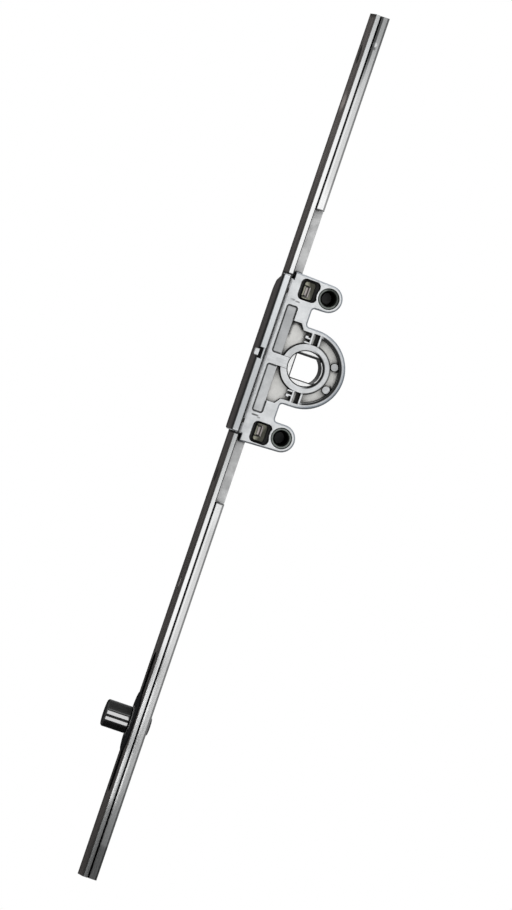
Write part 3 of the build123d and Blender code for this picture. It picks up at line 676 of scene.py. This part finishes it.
def sleeve_details(finish, colour, dark):
    """A pale jagged lip with painted shade on its upper side, round a bore and outer ring painted dark as
    shade.
    """
    jag = (finish.noise(0.5, 2.0) - 0.5) * 0.3
    radius = finish.round_axis(0, SCREW_Z, mirrored=True) + jag
    lip = (radius - SLEEVE_LIP_RADIUS).line(0.22, 0.1)
    shaded_side = (finish.x + finish.z - SCREW_Z).step(0.6, 1.6)
    colour = finish.mix(lip * (1 - shaded_side * 0.75), colour, SLEEVE_LIP)
    return colour, dark.most(radius.step(*SLEEVE_BORE_FADE_RADII), radius.step(*SLEEVE_RIM_FADE_RADII) * 0.7)


# Black pieces

GLOSS_BLACK, SCUFFED_BLACK, GLOSS_CORNER = (0.006, 0.006, 0.006), (0.013, 0.013, 0.013), (0.06, 0.06, 0.06)
NYLON_BLACK, CLOUDY_BLACK, NYLON_CORNER = (0.008, 0.008, 0.009), (0.016, 0.016, 0.017), (0.05, 0.05, 0.05)
GLOSS_UPPER_FADE, GLOSS_LOWER_FADE, GLOSS_END_FADE = (0.36, 0.3), (-0.56, -0.48), (0.2, 0.08)


def black_gloss(name):
    """Blackened steel, finely scuffed along its length, with a gloss on the middle of its round side."""
    finish = Finish(name, Metallic=0.3, Coat_Roughness=0.05, Coat_IOR=3.6)
    rounded = finish.soft_edges(0.2)
    rub = finish.noise(0.35, 4.0, (14, 1, 1))
    cloud = finish.noise(0.5, 3.0, (3, 1, 1))
    worn = finish.edge_wear(rounded)
    colour = finish.mix(rub.step(0.55, 0.75), GLOSS_BLACK, SCUFFED_BLACK)
    colour = finish.mix(worn * 0.25, colour, GLOSS_CORNER)
    lean = finish.facing("Z")
    polished = lean.step(*GLOSS_UPPER_FADE) * lean.step(*GLOSS_LOWER_FADE)
    polished = polished * abs(finish.axis(rounded, "X")).step(*GLOSS_END_FADE)
    finish.feed(finish.shader.inputs["Coat Weight"], polished)
    finish.dress(colour, 0.34 + cloud * 0.14, finish.bump(rub, 0.003, 0.4, rounded))
    return finish


def black_nylon(name):
    """Moulded black nylon with a faint orange-peel skin."""
    finish = Finish(name, Specular_IOR_Level=0.02)
    rounded = finish.soft_edges(0.2)
    skin = finish.noise(0.3, 3.0)
    cloud = finish.noise(2.4, 3.0)
    worn = finish.edge_wear(rounded)
    colour = finish.mix(cloud.step(0.3, 0.7), NYLON_BLACK, CLOUDY_BLACK)
    colour = finish.mix(worn * 0.4, colour, NYLON_CORNER)
    finish.dress(colour, 0.6 + skin * 0.16, finish.bump(skin, 0.015, 0.5, rounded))
    return finish


# The finish of each piece

case_finish = cast_zinc("case_zinc", (0.84, 0.85, 0.86), (0.70, 0.71, 0.72), 0.34, details=case_details)
rack_finish = cast_zinc("rack_zinc", (0.66, 0.66, 0.66), (0.44, 0.44, 0.44), 0.34)
follower_finish = cast_zinc(
    "follower_zinc", (0.97, 0.97, 0.97), (0.88, 0.88, 0.88), shine=0.28, metal=0.3, details=follower_details
)
washer_finish = cast_zinc("washer_zinc", (0.42, 0.41, 0.33), (0.26, 0.26, 0.2), 0.38, details=washer_details)
pip_finish = cast_zinc("pip_zinc", (0.80, 0.81, 0.82), (0.5, 0.5, 0.5), 0.32, details=pip_details)
rail_finish = drawn_strip("rail_steel", (0.96, 0.96, 0.96), (0.130, 0.118, 0.113), details=rail_details)
cap_finish = drawn_strip(
    "cap_steel", (0.84, 0.86, 0.88), (0.120, 0.110, 0.108), 0.26, coat_from=0.75, details=cap_details
)
rod_finish = drawn_strip(
    "rod_steel", (0.74, 0.74, 0.74), (0.02, 0.02, 0.02), 0.24, 0.4, coat_from=0.68, details=rod_details
)
sleeve_finish = turned_steel(
    "sleeve_steel", (0.035, 0.04, 0.037), (0.02, 0.024, 0.022), "Y", 0.36, (0.05, 0.055, 0.05), sleeve_details
)
rivet_finish = turned_steel(
    "rivet_steel", (0.54, 0.49, 0.47), (0.38, 0.34, 0.33), "Y", 0.36, details=rivet_details
)
cam_washer_finish = turned_steel("cam_washer_steel", (0.30, 0.30, 0.30), (0.14, 0.14, 0.14), "X", 0.4)
stud_finish = turned_steel("stud_steel", (0.05, 0.05, 0.052), (0.02, 0.02, 0.022), "X", 0.32, (0.1, 0.1, 0.1))
roller_finish = black_gloss("roller_black")
shoe_finish = black_nylon("shoe_plastic")

FINISH_OF = {
    "front_rail": rail_finish,
    "gearbox_cap": cap_finish,
    "alignment_pip": pip_finish,
    "case_near_half": case_finish,
    "case_far_half": case_finish,
    "guide_rivet": rivet_finish,
    "spindle_follower": follower_finish,
    "rack_bar": rack_finish,
    "drive_rod_upper": rod_finish,
    "drive_rod_lower": rod_finish,
    "cam_stud": stud_finish,
    "cam_shoe": shoe_finish,
    "cam_washer": cam_washer_finish,
    "cam_roller": roller_finish,
}
for end in ("upper", "lower"):
    FINISH_OF["screw_sleeve_" + end] = sleeve_finish
    FINISH_OF["case_rivet_" + end] = rivet_finish
    FINISH_OF["rivet_washer_" + end] = washer_finish
    FINISH_OF["rail_rivets_" + end] = rivet_finish
    FINISH_OF["rod_rivets_" + end] = rivet_finish
for name, finish in FINISH_OF.items():
    finish.put_on(nodes[name])


# Screw threads

THREAD_PITCH = 0.8 * MM
THREAD_DEPTH = 0.32 * MM
THREAD_INSET = 1.3 * MM
THREAD_ROOT_CLEARANCE = 0.01 * MM
THREAD_LEAST_SHARE = 0.05
THREAD_COLUMNS = 40
ROWS_PER_PITCH = 12
SLEEVE_BORE_RADIUS = 2.1 * MM


def closed_piece(name, points, finish, body):
    """A mesh from a grid of points, rows by columns, that is joined round both ways."""
    rows, columns = points.shape[:2]
    index = np.arange(rows * columns).reshape(rows, columns)
    index = np.vstack([index, index[:1]])
    index = np.hstack([index, index[:, :1]])
    faces = np.stack([index[:-1, :-1], index[:-1, 1:], index[1:, 1:], index[1:, :-1]], -1).reshape(-1, 4)
    mesh = bpy.data.meshes.new(name)
    mesh.from_pydata(points.reshape(-1, 3).tolist(), [], faces.tolist())
    mesh.shade_smooth()
    piece = bpy.data.objects.new(name, mesh)
    bpy.context.scene.collection.objects.link(piece)
    finish.put_on(piece)
    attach(piece, body)


def screw_thread(name, node):
    """A thread inside a sleeve. Its radius is the bore's, less a triangle wave of the turn plus the height
    over the pitch, and a plain wall behind closes it."""
    low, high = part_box(node)
    middle_z = (low.z + high.z) / 2
    y_from, y_to = low.y + THREAD_INSET, high.y - THREAD_INSET
    turn = np.linspace(0, 2 * pi, THREAD_COLUMNS, endpoint=False)[:, None]
    y = np.linspace(y_from, y_to, ROWS_PER_PITCH * int((y_to - y_from) / THREAD_PITCH))[None, :]
    phase = (y / THREAD_PITCH + turn / (2 * pi)) % 1.0
    root = SLEEVE_BORE_RADIUS - THREAD_ROOT_CLEARANCE
    ends_share = np.minimum(1.0, np.minimum(y - y_from, y_to - y) / THREAD_PITCH)
    crest = ends_share * (1 - np.abs(2 * phase - 1))
    inner = root - THREAD_DEPTH * (THREAD_LEAST_SHARE + (1 - THREAD_LEAST_SHARE) * crest)
    radius = np.hstack([inner, np.full_like(inner, root)])
    y_both = np.hstack([np.broadcast_to(y, inner.shape), np.broadcast_to(y[:, ::-1], inner.shape)])
    points = np.stack([radius * np.cos(turn), y_both, middle_z + radius * np.sin(turn)], -1)
    closed_piece(name, points, sleeve_finish, "gearbox")


for end in ("upper", "lower"):
    screw_thread("screw_thread_" + end, "screw_sleeve_" + end)


# Floor, light and reflections

FLOOR_Z = -0.30
FLOOR_RADIUS = 1.1
FLOOR_CORNERS = 96
FLOOR_PALE_FROM, FLOOR_WHITE_FROM = 0.35 * FLOOR_RADIUS, 0.95 * FLOOR_RADIUS


def floor_disc():
    """A pale round floor that fades into the white background at its rim."""
    turn = np.linspace(0, 2 * pi, FLOOR_CORNERS, endpoint=False)
    ring = [FLOOR_RADIUS * np.cos(turn), FLOOR_RADIUS * np.sin(turn), np.full(FLOOR_CORNERS, FLOOR_Z)]
    mesh = bpy.data.meshes.new("floor")
    mesh.from_pydata(np.stack(ring, -1).tolist(), [], [list(range(FLOOR_CORNERS))])
    floor = bpy.data.objects.new("floor", mesh)
    bpy.context.scene.collection.objects.link(floor)
    finish = Finish("floor_paint", Roughness=0.8, Specular_IOR_Level=0.1)
    finish.feed(finish.shader.inputs["Base Color"], (0.86, 0.86, 0.86))
    level_place = finish.node("ShaderNodeMapping", {"Vector": finish.place, "Scale": (1, 1, 0)})
    reach = finish.vector_maths("LENGTH", {0: level_place}, out="Value")
    fade = reach.step(FLOOR_PALE_FROM, FLOOR_WHITE_FROM)
    paint = Value(finish, finish.shader.outputs[0])
    glow = finish.node("ShaderNodeEmission", {"Color": (1, 1, 1), "Strength": 1.0})
    mixed = finish.node("ShaderNodeMixShader", {0: fade, 1: paint, 2: glow})
    finish.feed(finish.tree.nodes["Material Output"].inputs["Surface"], mixed)
    finish.put_on(floor)


def white_world(diffuse_level):
    """White to the camera and in reflections, and a softer level for the light that falls on the object."""
    world = bpy.data.worlds.new("studio")
    bpy.context.scene.world = world
    world.use_nodes = True
    sky = Nodes(world.node_tree)
    background = sky.tree.nodes["Background"]
    kinds = ("Is Camera Ray", "Is Glossy Ray", "Is Transmission Ray")
    to_camera, glossy, transmitted = (sky.node("ShaderNodeLightPath", out=kind) for kind in kinds)
    seen = to_camera.most(glossy, transmitted)
    sky.feed(background.inputs["Color"], (1, 1, 1))
    sky.feed(background.inputs["Strength"], diffuse_level + (1 - diffuse_level) * seen)


def soft_lamp(name, position, aim, size, power):
    """A square softbox at a place, turned to a point."""
    data = bpy.data.lights.new(name, "AREA")
    data.size = size
    data.energy = power
    lamp = bpy.data.objects.new(name, data)
    turn = (Vector(position) - Vector(aim)).to_track_quat("Z", "Y")
    lamp.matrix_world = Matrix.Translation(position) @ turn.to_matrix().to_4x4()
    lamp.visible_camera = False
    bpy.context.scene.collection.objects.link(lamp)


CARD_TONE = (0.95, 0.99, 1.0)
WHITE_TONE = (1.0, 1.0, 1.0)


def card(name, corner, edge_a, edge_b, levels, strength=1.0):
    """A grey card that only reflections see, as a photographer sets one beside bright metal. Its glow follows
    levels, which are pairs of a height in metres and a brightness. The darker it is, the cooler its tone."""
    corner, edge_a, edge_b = Vector(corner), Vector(edge_a), Vector(edge_b)
    points = [corner, corner + edge_a, corner + edge_a + edge_b, corner + edge_b]
    mesh = bpy.data.meshes.new(name)
    mesh.from_pydata([tuple(point) for point in points], [], [(0, 1, 2, 3)])
    made = bpy.data.objects.new(name, mesh)
    bpy.context.scene.collection.objects.link(made)
    finish = Finish(name + "_cloth")
    low, high = levels[0][0], levels[-1][0]
    share = (finish.axis(finish.place, "Z") - low) / (high - low)
    stops = [((z - low) / (high - low), level) for z, level in levels]
    glow = finish.node("ShaderNodeValToRGB", {"Fac": share}, stops=stops)
    tinted = finish.tint(finish.mix(glow ** 2.0, CARD_TONE, WHITE_TONE), glow)
    emission = finish.node("ShaderNodeEmission", {"Color": tinted, "Strength": strength})
    finish.feed(finish.tree.nodes["Material Output"].inputs["Surface"], emission)
    finish.put_on(made)
    made.visible_camera = False
    made.visible_diffuse = False
    made.visible_shadow = False
    made.visible_transmission = False


STRIP_LEVELS = (
    (-0.60, 0.02), (-0.165, 0.03), (-0.154, 0.07), (-0.144, 0.22), (-0.130, 0.42), (-0.117, 0.66),
    (-0.105, 0.92), (-0.082, 1.0), (-0.060, 1.0), (-0.046, 0.92), (-0.036, 0.52), (-0.026, 0.22),
    (-0.014, 0.24), (-0.002, 0.42), (0.010, 0.72), (0.022, 0.96), (0.060, 1.0), (0.076, 0.9),
    (0.092, 0.7), (0.104, 0.5), (0.13, 0.1), (0.50, 0.03),
)
DARK = ((-1.0, 0.02), (1.0, 0.02))
DEEP_GREY = ((-1.0, 0.05), (1.0, 0.05))
WHITE = ((-1.0, 1.0), (1.0, 1.0))
MID_GREY = ((-1.0, 0.2), (0.0, 0.2), (0.05, 0.4), (1.0, 0.4))
STRIPE_GLOW = 1.9
LAMP_AIM = (0, 0, -0.02)

floor_disc()
white_world(0.55)
soft_lamp("key_lamp", (0.35, -0.8, 0.75), LAMP_AIM, size=0.6, power=5.0)
soft_lamp("fill_lamp", (-0.7, -0.6, 0.2), LAMP_AIM, size=0.7, power=2.0)
card("near_card", (-0.10, -0.15, -0.6), (0.28, 0, 0), (0, 0, 1.1), STRIP_LEVELS)
card("far_card", (-0.02, 0.15, -0.6), (0.28, 0, 0), (0, 0, 1.1), STRIP_LEVELS)
card("left_card", (-0.30, 0.25, -0.5), (0.27, 0.25, 0), (0, 0, 1.0), DARK)
card("right_card", (0.25, -0.12, -0.6), (0, 0.30, 0), (0, 0, 1.1), MID_GREY)
card("below_card", (-0.15, -0.15, -0.22), (0.35, 0, 0), (0, 0.3, 0), DEEP_GREY)
card("roller_stripe_upper", (-0.0199, -0.030, -0.1160), (0.0069, 0, 0), (0, 0, 0.0140), WHITE, STRIPE_GLOW)
card("roller_stripe_lower", (-0.0207, -0.020, -0.1380), (0.0077, 0, 0), (0, 0, 0.0152), WHITE, STRIPE_GLOW)
card("roller_board", (-0.040, -0.035, -0.165), (0.0292, 0, 0), (0, 0, 0.073), DARK)

bpy.context.scene.view_settings.view_transform = "Standard"
